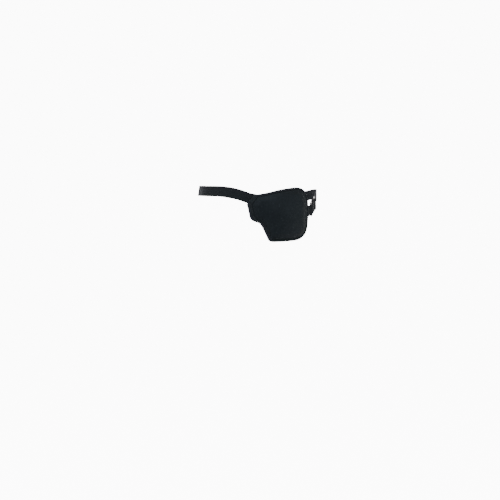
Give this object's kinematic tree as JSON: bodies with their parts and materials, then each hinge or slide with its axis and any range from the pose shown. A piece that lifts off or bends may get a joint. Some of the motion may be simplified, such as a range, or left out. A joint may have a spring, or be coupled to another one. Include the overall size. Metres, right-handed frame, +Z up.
{
  "type": "eye patch",
  "caption": "Contoured padded fabric patch that covers one eye, on an elastic head strap with a ring and a slide adjuster.",
  "frame": {"origin": "middle of the wearer's head, level with the pupils; the patch covers the eye on the +X side", "axes": "+Z up, the wearer faces -Y, +X towards the wearer's left"},
  "size_m": [0.1638, 0.2096, 0.0734],
  "materials": {
    "cover_cloth": "fine smooth knit with a soft sheen",
    "lining_cloth": "brushed and matt",
    "foam": "open-cell pad, matt",
    "binding_tape": "folded knitted tape",
    "elastic": "ribbed elastic webbing",
    "thread": "twisted sewing thread",
    "ring_plastic": "gloss",
    "slider_plastic": "satin gloss"
  },
  "bodies": {
    "patch": {"front_cover": "cover_cloth", "foam_core": "foam", "inner_lining": "lining_cloth", "edge_binding": "binding_tape", "edge_stitching": "thread", "head_strap": "elastic", "corner_stitching": "thread", "side_tab": "elastic", "tab_stitching": "thread"},
    "ring": {"ring": "ring_plastic"},
    "strap_loop": {"strap_ring_fold": "elastic", "strap_slider_run": "elastic", "strap_return_run": "elastic"},
    "slider": {"slider": "slider_plastic", "strap_sewn_end": "elastic", "strap_end_stitching": "thread"}
  },
  "joints": [
    {"name": "strap_flex", "type": "hinge", "parent": "patch", "child": "strap_loop", "pos_m": [0.08063, 0.02206, 0.02814], "axis": [-0.0337, -0.2396, 0.9703], "range_deg": [-2, 2], "stiffness_Nm_per_rad": 0.01},
    {"name": "ring_tilt", "type": "hinge", "parent": "patch", "child": "ring", "pos_m": [0.0705, -0.05, 0.01], "axis": [-0.0337, -0.2396, 0.9703], "range_deg": [-18, 18]},
    {"name": "slider_slide", "type": "slide", "parent": "strap_loop", "child": "slider", "axis": [0.135, 0.9609, 0.2419], "range_m": [-0.008, 0.02], "deforming": ["strap_slider_run", "strap_return_run"]}
  ],
  "couplings": [
    {"joint": "ring_tilt", "follows": "strap_flex", "ratio": -9}
  ]
}
